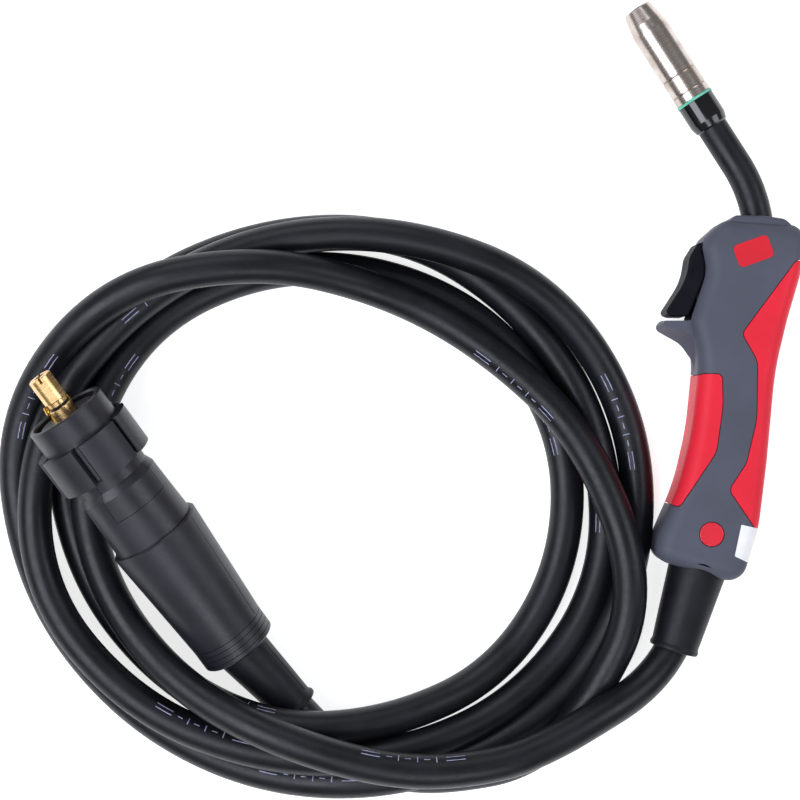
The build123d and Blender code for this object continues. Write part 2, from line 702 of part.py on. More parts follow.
with BuildPart() as plug_pin:
    core_radius = plug_pin_diameter / 2
    revolve(section(plug, (liner_bore / 2, -7.0), (core_radius - 1.3, -7.0), (core_radius - 1.0, -6.6),
                    (core_radius - 1.0, -4.6), (core_radius - 1.6, -4.4), (core_radius - 1.6, -3.4),
                    (core_radius - 0.3, -3.2), (core_radius, -2.9), (core_radius, pin_shoulder),
                    (stem_radius, pin_shoulder), (stem_radius, 60.0), (liner_bore / 2, 60.0)), axis=spin(plug))
keep(plug_pin, "plug_pin")

with BuildPart() as seal_ring:
    seat = Plane(plug.from_local_coords((0, 0, -3.9)), x_dir=plug.x_dir, z_dir=plug.z_dir)
    revolve(section(seat, (core_radius - 1.58, -0.4), (core_radius - 0.9, -0.45), (core_radius - 0.55, 0),
                    (core_radius - 0.9, 0.45), (core_radius - 1.58, 0.4)), axis=spin(seat))
keep(seal_ring, "seal_ring")

with BuildPart() as liner_nut:
    with BuildSketch(plug.offset(-20.3)):
        RegularPolygon(liner_nut_flats / 2, 6, major_radius=False)
        Circle(liner_nut_corners / 2, mode=Mode.INTERSECT)
        Circle(liner_bore / 2, mode=Mode.SUBTRACT)
    extrude(amount=13.3)
    revolve(section(plug, (liner_nut_flats / 2 - 1.2, -21), (9, -21), (9, -17.6)), axis=spin(plug),
            mode=Mode.SUBTRACT)
    for slot_plane in (plug.x_dir, plug.y_dir):
        with BuildSketch(Plane(plug.from_local_coords((0, 0, -20.3)), x_dir=slot_plane, z_dir=plug.z_dir)):
            Rectangle(14, 1.1)
        extrude(amount=3.0, mode=Mode.SUBTRACT)
keep(liner_nut, "liner_nut")

# ---- Plug housings, parted by tongues that reach forward to the nut ----
body_radius = neck_diameter / 2
wide_radius = 20.5
tongue_width = 20.0
tongue_turns = (129.0, 9.0, 249.0)


def tongues(margin):
    """Three blocks, spaced around the plug, that the rear housing reaches forward through."""
    with BuildPart() as blocks:
        for turn_angle in tongue_turns:
            arm = plug.rotated((0, 0, turn_angle))
            with BuildSketch(Plane(plug.from_local_coords((0, 0, nut_length + 1.0 - margin)), x_dir=arm.x_dir,
                                   z_dir=plug.z_dir)):
                with Locations((21, 0)):
                    Rectangle(18, tongue_width + 2 * margin)
            extrude(amount=front_end - nut_length + 4)
    return blocks.part


front_room = tongues(0.25)
front_tongues = tongues(0.0)
with BuildPart() as plug_housing_front:
    revolve(section(plug, (stem_radius + 0.05, flange_front), (19.3, flange_front), (19.3, shoulder - 0.3),
                    (body_radius, shoulder - 0.3), (body_radius, 40.1), (wide_radius - 0.3, 44.2),
                    (wide_radius, front_end), (12.2, front_end), (12.2, 30.0),
                    (stem_radius + 0.05, 30.0)), axis=spin(plug))
    add(front_room, mode=Mode.SUBTRACT)
keep(plug_housing_front, "plug_housing_front")

sleeve_root = sleeve_diameter / 2
sleeve_tail = sleeve_end_diameter / 2
with BuildPart() as plug_housing_rear:
    revolve(section(plug, (12.2, nut_length + 1.0), (body_radius, nut_length + 1.0), (body_radius, 40.1),
                    (wide_radius - 0.3, 44.2), (wide_radius, front_end + 0.25), (12.2, front_end + 0.25)),
            axis=spin(plug))
    add(front_tongues, mode=Mode.INTERSECT)
    revolve(section(plug, (12.2, front_end + 0.25), (wide_radius, front_end + 0.25), (wide_radius + 0.6, step_place),
                    (sleeve_root - 0.8, step_place), (sleeve_root, step_place + 0.8),
                    (sleeve_tail, sleeve_end), (sleeve_tail, housing_end - 0.8), (sleeve_tail - 0.8, housing_end),
                    (14.0, housing_end), (14.0, sleeve_end), (17.0, sleeve_end - 3.0),
                    (17.0, step_place + 8.0), (12.2, step_place)), axis=spin(plug))
    ring_pitch = (housing_end - sleeve_end) / ring_count
    for ring in range(ring_count):
        place = sleeve_end + ring * ring_pitch
        revolve(section(plug, (sleeve_tail - 0.7, place), (sleeve_tail + 1, place - 0.35),
                        (sleeve_tail + 1, place + 0.35)), axis=spin(plug), mode=Mode.SUBTRACT)
keep(plug_housing_rear, "plug_housing_rear")

plug_tail = plug.from_local_coords((0, 0, housing_end))
boot_way = (Vector(*plug_boot_end) - plug_tail).normalized()
plug_boot_length = (Vector(*plug_boot_end) - plug_tail).length
plug_boot_frame = Plane(plug_tail, x_dir=(0, 0, 1), z_dir=boot_way)
with BuildPart() as plug_boot:
    revolve(section(plug_boot_frame, (mouth + 0.8, -4.0), (13.4, -4.0), (13.6, 0), (10.6, plug_boot_length - 2.5),
                    (11.9, plug_boot_length - 2.5), (12.2, plug_boot_length - 2.2),
                    (12.2, plug_boot_length - 0.4), (11.8, plug_boot_length), (mouth, plug_boot_length), (mouth, 5.0)),
            axis=spin(plug_boot_frame))
keep(plug_boot, "plug_boot")

with BuildPart() as plug_cable_end:
    with BuildLine() as end_line:
        FilletPolyline(plug.from_local_coords((0, 0, 60.0)), plug_tail, plug_boot_end, radius=30.0)
    with BuildSketch(Plane(end_line.line @ 0, x_dir=plug.x_dir, z_dir=plug.z_dir)):
        Circle(cable_diameter / 2)
    sweep()
keep(plug_cable_end, "plug_cable_end")

# ---- Free cable: lead, coil and tail ----
stations = []
for turn_number, radii in enumerate(turn_radii):
    for step, radius in enumerate(radii):
        stations.append((coil_start - 360 * turn_number - turn_step * step, radius))


def route(points):
    """Straight runs joined by tangent arcs, each arc as large as its two runs allow."""
    points = [Vector(*p) for p in points]
    radii = []
    for before, here, after in zip(points, points[1:], points[2:]):
        turned = (here - before).get_angle(after - here)
        shorter = min((here - before).length, (after - here).length)
        radii.append(0.45 * shorter / math.tan(math.radians(turned / 2)))
    return points, radii


strand_inset = cable_diameter / 2 - 4.0


def coil_rim(outer):
    """The outer or inner edge of the coil's strands at each step round it, seen from above."""
    rim = []
    for step in range(len(turn_radii[0])):
        angle = coil_start - turn_step * step
        near = [r for a, r in stations if (a - angle) % 360 == 0]
        reach_out = max(near) + strand_inset if outer else min(near) - cable_diameter + strand_inset
        rim.append((coil_centre[0] + reach_out * math.cos(math.radians(angle)),
                    coil_centre[1] + reach_out * math.sin(math.radians(angle))))
    return rim


lead_route, lead_radii = route(lead_points)
tail_route, tail_radii = route(tail_points[::-1])
plug_room = revolve(section(plug, (0, -30), (26, -30), (26, 80), (23, housing_end + 2), (0, housing_end + 2)),
                    axis=spin(plug))
boot_room = revolve(section(plug_boot_frame, (0, -6), (14.5, -6), (13, plug_boot_length + 0.3), (0, plug_boot_length + 0.3)),
                    axis=spin(plug_boot_frame))
with BuildPart() as tail_room:
    with BuildLine() as tail_line:
        FilletPolyline(*tail_route, radius=tail_radii)
    with BuildSketch(Plane(tail_line.line @ 0, z_dir=tail_line.line % 0)):
        Circle(cable_diameter / 2 + 0.3)
    sweep()

with BuildPart() as lead_room:
    with BuildLine() as lead_line:
        FilletPolyline(*lead_route, radius=lead_radii)
    with BuildSketch(Plane(lead_line.line @ 0, z_dir=lead_line.line % 0)):
        Circle(cable_diameter / 2 + 0.3)
    sweep()

with BuildPart() as cable_coil:
    with BuildSketch(Plane.XY):
        with BuildLine():
            Spline(*coil_rim(True), periodic=True)
        make_face()
        with BuildLine():
            Spline(*coil_rim(False), periodic=True)
        make_face(mode=Mode.SUBTRACT)
    extrude(amount=coil_height)
    add(plug_room, mode=Mode.SUBTRACT)
    add(boot_room, mode=Mode.SUBTRACT)
    add(tail_room.part, mode=Mode.SUBTRACT)
    add(lead_room.part, mode=Mode.SUBTRACT)
    add(handle_form(0.6), mode=Mode.SUBTRACT)
keep(cable_coil, "cable_coil")

with BuildPart() as cable_lead:
    with BuildSketch(Plane(lead_line.line @ 0, z_dir=lead_line.line % 0)):
        Circle(cable_diameter / 2)
    sweep(path=lead_line.line)
keep(cable_lead, "cable_lead")

with BuildPart() as cable_tail:
    with BuildSketch(Plane(tail_line.line @ 0, z_dir=tail_line.line % 0)):
        Circle(cable_diameter / 2)
    sweep(path=tail_line.line)
keep(cable_tail, "cable_tail")
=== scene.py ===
import bpy
import bmesh
import math
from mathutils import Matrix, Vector


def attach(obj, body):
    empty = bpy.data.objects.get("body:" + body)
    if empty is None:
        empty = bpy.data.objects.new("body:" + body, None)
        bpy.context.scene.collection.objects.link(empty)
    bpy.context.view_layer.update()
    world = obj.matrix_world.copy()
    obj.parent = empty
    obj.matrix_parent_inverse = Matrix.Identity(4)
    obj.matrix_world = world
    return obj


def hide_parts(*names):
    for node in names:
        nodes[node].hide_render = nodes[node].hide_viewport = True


# MIG welding torch: the finishes of its pieces, its two boots, its loosely coiled cable and the studio
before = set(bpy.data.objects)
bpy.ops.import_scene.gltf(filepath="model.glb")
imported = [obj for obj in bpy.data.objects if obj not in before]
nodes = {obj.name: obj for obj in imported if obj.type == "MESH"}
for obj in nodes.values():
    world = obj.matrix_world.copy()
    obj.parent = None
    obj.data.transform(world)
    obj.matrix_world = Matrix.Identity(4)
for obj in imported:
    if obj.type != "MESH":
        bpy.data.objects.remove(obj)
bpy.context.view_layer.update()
scene = bpy.context.scene
mm = 0.001
print("frame loaded,", len(nodes), "CAD nodes")

# camera straight above the torch, +Y towards the top of the picture
cameraSettings = {"place": (-0.1555, -0.035, 0.962), "lens": 85.0, "sensor": 36.0}

cameraData = bpy.data.cameras.new("camera")
cameraData.lens = cameraSettings["lens"]
cameraData.sensor_width = cameraSettings["sensor"]
camera = bpy.data.objects.new("camera", cameraData)
camera.location = cameraSettings["place"]
scene.collection.objects.link(camera)
scene.camera = camera


# unit vector: heading in degrees from +X towards +Y, dip in degrees below the level
def directionAt(heading, dip=0.0):
    flat = math.cos(math.radians(dip))
    return Vector((
        math.cos(math.radians(heading)) * flat,
        math.sin(math.radians(heading)) * flat,
        -math.sin(math.radians(dip)),
    ))


# sRGB hex colour to linear RGBA
def linear(hexColour):
    channels = [int(hexColour[place:place + 2], 16) / 255 for place in (1, 3, 5)]
    return [c / 12.92 if c <= 0.04045 else ((c + 0.055) / 1.055) ** 2.4 for c in channels] + [1.0]


# sockets holds values and links by socket name or number, settings the node's own fields
def addNode(tree, kind, sockets, **settings):
    node = tree.nodes.new(kind)
    for key, value in settings.items():
        setattr(node, key, value)
    for key, value in sockets.items():
        if isinstance(value, bpy.types.NodeSocket):
            tree.links.new(value, node.inputs[key])
        else:
            node.inputs[key].default_value = value
    return node


# places that turned pieces are drawn from: muzzle looks forward from the neck's insulator,
# bootMouth from the handle down the cable, plugRim from the rim of the plug's nut back along the plug
muzzle = {"origin": Vector((0.601, 101.324, 18.0)) * mm, "axis": directionAt(122.7)}
bootMouth = {"origin": Vector((-7.25, -120.25, 18.0)) * mm, "axis": directionAt(270 - 16.5)}
plugRim = {"origin": Vector((-315.3, -40.2, 63.0)) * mm, "axis": directionAt(-55.73, 15.5)}
plugLength = 147.1  # mm, from the rim to the end of the rear housing
plugTail = plugRim["origin"] + plugRim["axis"] * plugLength * mm
plugBootEnd = Vector((-207.1, -188.8, 16.0)) * mm


def newMaterial(name, look):
    material = bpy.data.materials.new(name)
    material.use_nodes = True
    material.diffuse_color = linear(look["colour"])
    return material, material.node_tree, material.node_tree.nodes["Principled BSDF"]


# colour and shade drift into each other with the cloud; cloud and fine marks together vary the roughness,
# and the fine marks alone stand out of the surface
def linkFinish(tree, shader, look, cloud, marks, driftLow, driftHigh):
    drift = addNode(tree, "ShaderNodeMapRange", {
        "Value": cloud, "From Min": driftLow, "From Max": driftHigh,
    })
    colour = addNode(tree, "ShaderNodeMix", {
        0: drift.outputs["Result"], 6: linear(look["colour"]), 7: linear(look["shade"]),
    }, data_type="RGBA")
    tree.links.new(colour.outputs[2], shader.inputs["Base Color"])
    mixed = addNode(tree, "ShaderNodeMath", {0: cloud, 1: marks}, operation="ADD")
    rough = addNode(tree, "ShaderNodeMapRange", {
        "Value": mixed.outputs["Value"], "From Min": 0.75, "From Max": 1.25,
        "To Min": look["roughness"][0], "To Max": look["roughness"][1],
    })
    tree.links.new(rough.outputs["Result"], shader.inputs["Roughness"])
    bump = addNode(tree, "ShaderNodeBump", {
        "Height": marks, "Distance": look["relief"] * mm, "Strength": 1.0,
    })
    tree.links.new(bump.outputs["Normal"], shader.inputs["Normal"])


# plastics and rubbers: cloud and grain are the sizes of the two patterns and relief the grain's depth,
# in mm; a low shine keeps steep side walls from going pale
# real grains are 0.1 to 0.3 mm across, all are drawn at 1 to 3 mm so that they show
def softSurface(name, look):
    material, tree, shader = newMaterial(name, look)
    shader.inputs["IOR"].default_value = look["ior"]
    shader.inputs["Specular IOR Level"].default_value = look.get("shine", 0.5)
    place = addNode(tree, "ShaderNodeTexCoord", {}).outputs["Object"]
    cloud = addNode(tree, "ShaderNodeTexNoise", {
        "Vector": place, "Scale": 1 / (look["cloud"] * mm), "Detail": 3.0, "Roughness": 0.55,
    }).outputs["Fac"]
    grain = addNode(tree, "ShaderNodeTexNoise", {
        "Vector": place, "Scale": 1 / (look["grain"] * mm), "Detail": 2.0, "Roughness": 0.6,
    }).outputs["Fac"]
    linkFinish(tree, shader, look, cloud, grain, driftLow=0.35, driftHigh=0.65)
    return material


# glass filled nylon, spark eroded mould: dull slate grey with a fine even grain
shellNylon = softSurface("nylonMouldedSlate", {
    "colour": "#545662", "shade": "#4e505b", "roughness": (0.46, 0.60), "ior": 1.53, "shine": 0.2,
    "cloud": 38.0, "grain": 1.1, "relief": 0.035,
})
# TPE overmould: satin red that feels like rubber, broad soft highlight
gripTpe = softSurface("tpeOvermouldedRed", {
    "colour": "#e62c3d", "shade": "#dc2939", "roughness": (0.40, 0.52), "ior": 1.51, "shine": 0.15,
    "cloud": 30.0, "grain": 1.4, "relief": 0.02,
})
# ABS cap, gloss tool: brighter and smoother than the grips
capAbs = softSurface("absMouldedRed", {
    "colour": "#dd2b3a", "shade": "#d42836", "roughness": (0.22, 0.30), "ior": 1.54,
    "cloud": 12.0, "grain": 1.2, "relief": 0.008,
})
# nylon trigger polished by the finger: black satin
triggerNylon = softSurface("nylonMouldedBlack", {
    "colour": "#141419", "shade": "#191920", "roughness": (0.46, 0.58), "ior": 1.53, "shine": 0.04,
    "cloud": 16.0, "grain": 1.2, "relief": 0.015,
})
# silicone sleeve pulled over the neck: black, soft sheen, slight unevenness under the finger
neckSilicone = softSurface("siliconeSleeveBlack", {
    "colour": "#101016", "shade": "#15151c", "roughness": (0.34, 0.46), "ior": 1.43, "shine": 0.4,
    "cloud": 9.0, "grain": 2.2, "relief": 0.03,
})
# phenolic insulator, turned and lacquered: near black and glossy enough to mirror the lamps
insulatorPhenolic = softSurface("phenolicTurnedBlack", {
    "colour": "#0c0c0e", "shade": "#111113", "roughness": (0.08, 0.16), "ior": 1.6,
    "cloud": 14.0, "grain": 1.6, "relief": 0.004,
})
# silicone washer punched from sheet: dull teal
washerSilicone = softSurface("siliconePunchedTeal", {
    "colour": "#76cdb2", "shade": "#68bfa4", "roughness": (0.5, 0.6), "ior": 1.43,
    "cloud": 6.0, "grain": 1.0, "relief": 0.01,
})
# ABS plug body, lightly textured tool: black with a grey veil of light on top
plugAbs = softSurface("absMouldedBlack", {
    "colour": "#17171d", "shade": "#1d1d24", "roughness": (0.34, 0.46), "ior": 1.54, "shine": 0.45,
    "cloud": 24.0, "grain": 1.2, "relief": 0.03,
})
# moulded neoprene boots: black, duller than the plastic
bootNeoprene = softSurface("neopreneMouldedBlack", {
    "colour": "#101015", "shade": "#16161c", "roughness": (0.42, 0.54), "ior": 1.52, "shine": 0.24,
    "cloud": 14.0, "grain": 1.3, "relief": 0.03,
})
# extruded neoprene cable sheath: black satin with a faint bloom of talc
cableNeoprene = softSurface("neopreneExtrudedBlack", {
    "colour": "#0d0e12", "shade": "#14151a", "roughness": (0.34, 0.46), "ior": 1.52, "shine": 0.3,
    "cloud": 26.0, "grain": 2.0, "relief": 0.03,
})
# ink of the marking wheel on the sheath: thin greyish white, worn in spots
cableInk = softSurface("inkPrintedWhite", {
    "colour": "#a6a8c8", "shade": "#8183a0", "roughness": (0.55, 0.7), "ior": 1.5,
    "cloud": 2.4, "grain": 1.0, "relief": 0.005,
})
# coated paper label left blank
labelPaper = softSurface("paperCoatedWhite", {
    "colour": "#f2f2f0", "shade": "#e9e9e7", "roughness": (0.35, 0.45), "ior": 1.5,
    "cloud": 12.0, "grain": 1.4, "relief": 0.006,
})
# polycarbonate name plate left bare: gloss red
plateRed = softSurface("polycarbonatePrintedRed", {
    "colour": "#da2735", "shade": "#d12533", "roughness": (0.16, 0.24), "ior": 1.58,
    "cloud": 14.0, "grain": 1.4, "relief": 0.006,
})
print("plastics and rubbers made")


# metals: turning marks are rings round the piece's own axis, pitch and relief in mm;
# real marks are 0.1 to 0.2 mm apart, all are drawn at 0.5 to 0.8 mm so that they show
def turnedMetal(name, look, origin, axis):
    material, tree, shader = newMaterial(name, look)
    shader.inputs["Metallic"].default_value = 1.0
    place = addNode(tree, "ShaderNodeTexCoord", {}).outputs["Object"]
    fromOrigin = addNode(tree, "ShaderNodeVectorMath", {0: place, 1: origin}, operation="SUBTRACT")
    along = addNode(tree, "ShaderNodeVectorMath", {
        0: fromOrigin.outputs["Vector"], 1: axis,
    }, operation="DOT_PRODUCT").outputs["Value"]
    rings = addNode(tree, "ShaderNodeTexNoise", {
        "W": along, "Scale": 1 / (look["pitch"] * mm), "Detail": 2.0,
    }, noise_dimensions="1D").outputs["Fac"]
    cloud = addNode(tree, "ShaderNodeTexNoise", {
        "Vector": place, "Scale": 1 / (look["cloud"] * mm), "Detail": 2.0, "Roughness": 0.5,
    }).outputs["Fac"]
    linkFinish(tree, shader, look, cloud, rings, driftLow=0.4, driftHigh=0.7)
    return material


# nickel plate over turned copper: warm white mirror broken by fine turning marks
nickelPlate = turnedMetal("nickelPlatedTurned", {
    "colour": "#cfc5bd", "shade": "#b9aca2", "roughness": (0.22, 0.30), "pitch": 0.7, "relief": 0.0004,
    "cloud": 7.0,
}, muzzle["origin"], muzzle["axis"])
# free cutting brass as it leaves the lathe: yellow, lines from the tool
brassTurned = turnedMetal("brassMachined", {
    "colour": "#e9c68c", "shade": "#cfa364", "roughness": (0.24, 0.34), "pitch": 0.8, "relief": 0.0012,
    "cloud": 5.0,
}, plugRim["origin"], plugRim["axis"])
# contact tip copper, drawn and turned
copperTurned = turnedMetal("copperDrawnTurned", {
    "colour": "#c97a55", "shade": "#a85f40", "roughness": (0.22, 0.36), "pitch": 0.8, "relief": 0.002,
    "cloud": 5.0,
}, muzzle["origin"], muzzle["axis"])
# hard gold on the control pins
goldPlate = turnedMetal("goldPlatedPins", {
    "colour": "#e0b04f", "shade": "#cc9838", "roughness": (0.14, 0.24), "pitch": 0.6, "relief": 0.0015,
    "cloud": 4.0,
}, plugRim["origin"], plugRim["axis"])
# zinc plated screws and springs
zincSteel = turnedMetal("steelZincPlated", {
    "colour": "#a9abb0", "shade": "#8e9096", "roughness": (0.26, 0.40), "pitch": 0.5, "relief": 0.004,
    "cloud": 4.0,
}, Vector((0.0, 0.0, 0.0)), Vector((0.0, 0.0, 1.0)))
print("metals made")

nodeFinishes = {
    "handle_shell_upper": shellNylon, "handle_shell_lower": shellNylon, "nose_ring": shellNylon,
    "grip_rear_upper": gripTpe, "grip_rear_lower": gripTpe,
    "grip_front_upper": gripTpe, "grip_front_lower": gripTpe,
    "cap": capAbs, "badge": plateRed, "sticker": labelPaper, "handle_screws": zincSteel,
    "neck_jacket": neckSilicone, "neck_conductor": copperTurned, "neck_block": brassTurned,
    "neck_insulator": insulatorPhenolic, "insulator_washer": washerSilicone,
    "tip_holder": brassTurned, "tip_ferrule": brassTurned, "contact_tip": copperTurned,
    "nozzle_spring": zincSteel, "gas_nozzle": nickelPlate,
    "trigger": triggerNylon, "trigger_pin": zincSteel,
    "microswitch": triggerNylon, "switch_plunger": gripTpe, "switch_leads": gripTpe,
    "power_hose": cableNeoprene, "seal_ring": neckSilicone,
    "coupling_nut": plugAbs, "plug_face": plugAbs,
    "plug_housing_front": plugAbs, "plug_housing_rear": plugAbs,
    "control_pin_a": goldPlate, "control_pin_b": goldPlate,
    "plug_pin": brassTurned, "liner_nut": brassTurned,
}
for nodeName, finish in nodeFinishes.items():
    node = nodes[nodeName]
    if not node.data.materials:
        node.data.materials.append(finish)
    for materialSlot in node.material_slots:
        materialSlot.material = finish
print("CAD nodes finished:", len(nodeFinishes))


def addPiece(name, mesh, material, body):
    piece = bpy.data.objects.new(name, mesh)
    scene.collection.objects.link(piece)
    mesh.materials.append(material)
    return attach(piece, body)


def finishedMesh(name, shape, smooth):
    bmesh.ops.recalc_face_normals(shape, faces=shape.faces)
    for face in shape.faces:
        face.smooth = smooth
    mesh = bpy.data.meshes.new(name)
    shape.to_mesh(mesh)
    shape.free()
    return mesh


# a closed (radius, distance) outline in mm turned about an axis
def turnedMesh(name, outline, origin, axis, steps=48):
    side = axis.orthogonal().normalized()
    across = axis.cross(side)
    shape = bmesh.new()
    rings = []
    for radius, distance in outline:
        ring = []
        for step in range(steps):
            turn = math.tau * step / steps
            outward = side * math.cos(turn) + across * math.sin(turn)
            ring.append(shape.verts.new(origin + (axis * distance + outward * radius) * mm))
        rings.append(ring)
    for ring, following in zip(rings, rings[1:] + rings[:1]):
        for step in range(steps):
            after = (step + 1) % steps
            shape.faces.new((ring[step], ring[after], following[after], following[step]))
    return finishedMesh(name, shape, smooth=True)


def smoothed(piece, levels=2):
    subdivision = piece.modifiers.new("subdivision", "SUBSURF")
    subdivision.levels = levels
    subdivision.render_levels = levels


# gun boot: tapering neoprene sleeve with a thin rolled lip
gunBootSettings = {
    "outline": [
        (9.2, -6.5), (14.0, -6.5), (16.9, -6.4), (16.9, -4.4), (15.1, -4.0), (14.6, -3.2), (14.6, -1.0),
        (14.3, 2.0), (13.6, 12.0), (12.7, 26.0), (11.9, 36.6), (11.8, 38.4), (12.3, 38.9), (12.4, 40.0),
        (12.1, 41.1), (11.2, 41.3), (10.2, 40.9), (9.7, 39.4), (9.2, 35.0), (8.9, 28.0), (8.9, 6.0),
    ],
}
gunBoot = addPiece(
    "gunBoot", turnedMesh("gunBoot", gunBootSettings["outline"], bootMouth["origin"], bootMouth["axis"]),
    bootNeoprene, "torch",
)
smoothed(gunBoot)
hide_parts("gun_boot")

# plug boot: the same sleeve at the tail of the plug
plugBootLength = (plugBootEnd - plugTail).length / mm
plugBootSettings = {
    "outline": [
        (9.3, -3.6), (12.6, -3.8), (13.3, -3.2), (13.5, -1.0), (13.4, 1.0), (12.7, 12.0), (11.9, 24.0),
        (10.9, plugBootLength - 4.6), (10.8, plugBootLength - 2.8), (11.6, plugBootLength - 2.4),
        (12.0, plugBootLength - 1.6), (11.8, plugBootLength - 0.3), (10.9, plugBootLength),
        (9.8, plugBootLength - 0.4), (9.3, plugBootLength - 2.4), (8.9, plugBootLength - 7.0), (8.9, 4.0),
    ],
}
plugBootWay = (plugBootEnd - plugTail).normalized()
plugBoot = addPiece(
    "plugBoot", turnedMesh("plugBoot", plugBootSettings["outline"], plugTail, plugBootWay),
    bootNeoprene, "torch",
)
smoothed(plugBoot)
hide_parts("plug_boot")
print("boots made")

# mould seams of the plug: fine raised lines along its sleeve and its boot, roll degrees round from the top
plugSeamSettings = {
    "roll": 62.0, "width": 0.6,
    # (share of half the width, height in mm) of the ridge's corners
    "section": [(-1, -0.5), (-0.35, 0.22), (0.35, 0.22), (1, -0.5)],
    "sleeve": [(23.05, 75.6), (22.0, 93.0), (20.8, 113.0), (19.55, 134.6)],
    "boot": [(13.0, 6.0), (12.35, 17.0), (11.6, 28.0), (10.95, plugBootLength - 5.6)],
}


# a narrow ridge over (radius, distance) places, rolled from the top towards +X
def seamMesh(name, places, origin, axis):
    upward = (Vector((0, 0, 1)) - axis * axis.z).normalized()
    sideways = axis.cross(upward)
    if sideways.x < 0:
        sideways = -sideways
    shape = bmesh.new()
    rows = []
    for radius, distance in places:
        row = []
        for side, lift in plugSeamSettings["section"]:
            roll = math.radians(plugSeamSettings["roll"]) + side * plugSeamSettings["width"] / 2 / radius
            outward = upward * math.cos(roll) + sideways * math.sin(roll)
            row.append(shape.verts.new(origin + (axis * distance + outward * (radius + lift)) * mm))
        rows.append(row)
    for row, following in zip(rows, rows[1:]):
        for step in range(len(row)):
            after = (step + 1) % len(row)
            shape.faces.new((row[step], row[after], following[after], following[step]))
    shape.faces.new(rows[0])
    shape.faces.new(rows[-1])
    return finishedMesh(name, shape, smooth=False)


sleeveSeam = addPiece(
    "sleeveSeam", seamMesh("sleeveSeam", plugSeamSettings["sleeve"], plugRim["origin"], plugRim["axis"]),
    plugAbs, "torch",
)
bootSeam = addPiece(
    "bootSeam", seamMesh("bootSeam", plugSeamSettings["boot"], plugTail, plugBootWay),
    bootNeoprene, "torch",
)
print("plug seams made")

# cable: 3.6 m of neoprene sheathed coaxial cable in four loose turns
# turns run clockwise from startAngle, a control point each stepAngle: distance from the centre, and height
cableSettings = {
    "diameter": 0.017,
    "resolution": 16, "bevelSteps": 8,
    "start": [(-0.01179, -0.13559, 0.018), (-0.0150, -0.1465, 0.018)],
    "lead": [
        (-0.0184, -0.1570, 0.018), (-0.0278, -0.1709, 0.020), (-0.0409, -0.1818, 0.0255),
        (-0.0568, -0.1900, 0.0335), (-0.0798, -0.2020, 0.041), (-0.1080, -0.2125, 0.048),
    ],
    "centre": (-0.1915, -0.089),
    "startAngle": -75.0,
    "stepAngle": 30.0,
    "turnRadii": [
        [0.131, 0.112, 0.114, 0.120, 0.128, 0.1315, 0.126, 0.123, 0.125, 0.126, 0.123, 0.120],
        [0.1105, 0.1115, 0.119, 0.129, 0.143, 0.149, 0.143, 0.145, 0.142, 0.143, 0.146, 0.139],
        [0.128, 0.127, 0.138, 0.151, 0.150, 0.142, 0.139, 0.143, 0.157, 0.1618, 0.1603, 0.155],
        [0.141, 0.141, 0.145, 0.155, 0.168, 0.153, 0.127, 0.113, 0.114, 0.134, 0.162],
    ],
    "turnHeights": [
        [0.052, 0.052, 0.033, 0.025, 0.022, 0.010, 0.009, 0.009, 0.009, 0.009, 0.009, 0.009],
        [0.030, 0.038, 0.013, 0.009, 0.009, 0.009, 0.009, 0.009, 0.009, 0.009, 0.009, 0.011],
        [0.031, 0.030, 0.025, 0.025, 0.024, 0.027, 0.026, 0.027, 0.021, 0.0095, 0.009, 0.010],
        [0.026, 0.013, 0.009, 0.009, 0.011, 0.047, 0.043, 0.020, 0.024, 0.025, 0.031],
    ],
    "tail": [
        (-0.0620, -0.1900, 0.017), (-0.0930, -0.2185, 0.009), (-0.1300, -0.2250, 0.009),
        (-0.1535, -0.2245, 0.009), (-0.1735, -0.2188, 0.009), (-0.1904, -0.2074, 0.0115),
        (-0.2071, -0.1888, 0.016),
    ],
    "end": [(-0.2163, -0.1786, 0.0185)],
}

routePoints = cableSettings["start"] + cableSettings["lead"]
radii = [radius for turn in cableSettings["turnRadii"] for radius in turn]
heights = [height for turn in cableSettings["turnHeights"] for height in turn]
for step, (radius, height) in enumerate(zip(radii, heights)):
    spoke = directionAt(cableSettings["startAngle"] - cableSettings["stepAngle"] * step)
    routePoints.append((
        cableSettings["centre"][0] + spoke.x * radius,
        cableSettings["centre"][1] + spoke.y * radius,
        height,
    ))
routePoints += cableSettings["tail"] + cableSettings["end"]


def cableCurve(name, bevel):
    curve = bpy.data.curves.new(name, "CURVE")
    curve.dimensions = "3D"
    curve.resolution_u = cableSettings["resolution"]
    curve.bevel_depth = bevel
    curve.bevel_resolution = cableSettings["bevelSteps"]
    spline = curve.splines.new("NURBS")
    spline.points.add(len(routePoints) - 1)
    for point, place in zip(spline.points, routePoints):
        point.co = (*place, 1.0)
    spline.order_u = 3
    spline.use_endpoint_u = True
    return curve


# centre line as Blender draws it, for the print on the sheath and the cable's length
guide = bpy.data.objects.new("cableGuide", cableCurve("cableGuide", 0.0))
guideMesh = bpy.data.meshes.new_from_object(guide)
cableLine = [vertex.co.copy() for vertex in guideMesh.vertices]
bpy.data.meshes.remove(guideMesh)
bpy.data.objects.remove(guide)
distances = [0.0]
for before, after in zip(cableLine, cableLine[1:]):
    distances.append(distances[-1] + (after - before).length)

cable = bpy.data.objects.new("cable", cableCurve("cable", cableSettings["diameter"] / 2))
scene.collection.objects.link(cable)
cable.data.materials.append(cableNeoprene)
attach(cable, "torch")
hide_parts("cable_sheath", "cable_lead", "cable_coil", "cable_tail", "plug_cable_end")

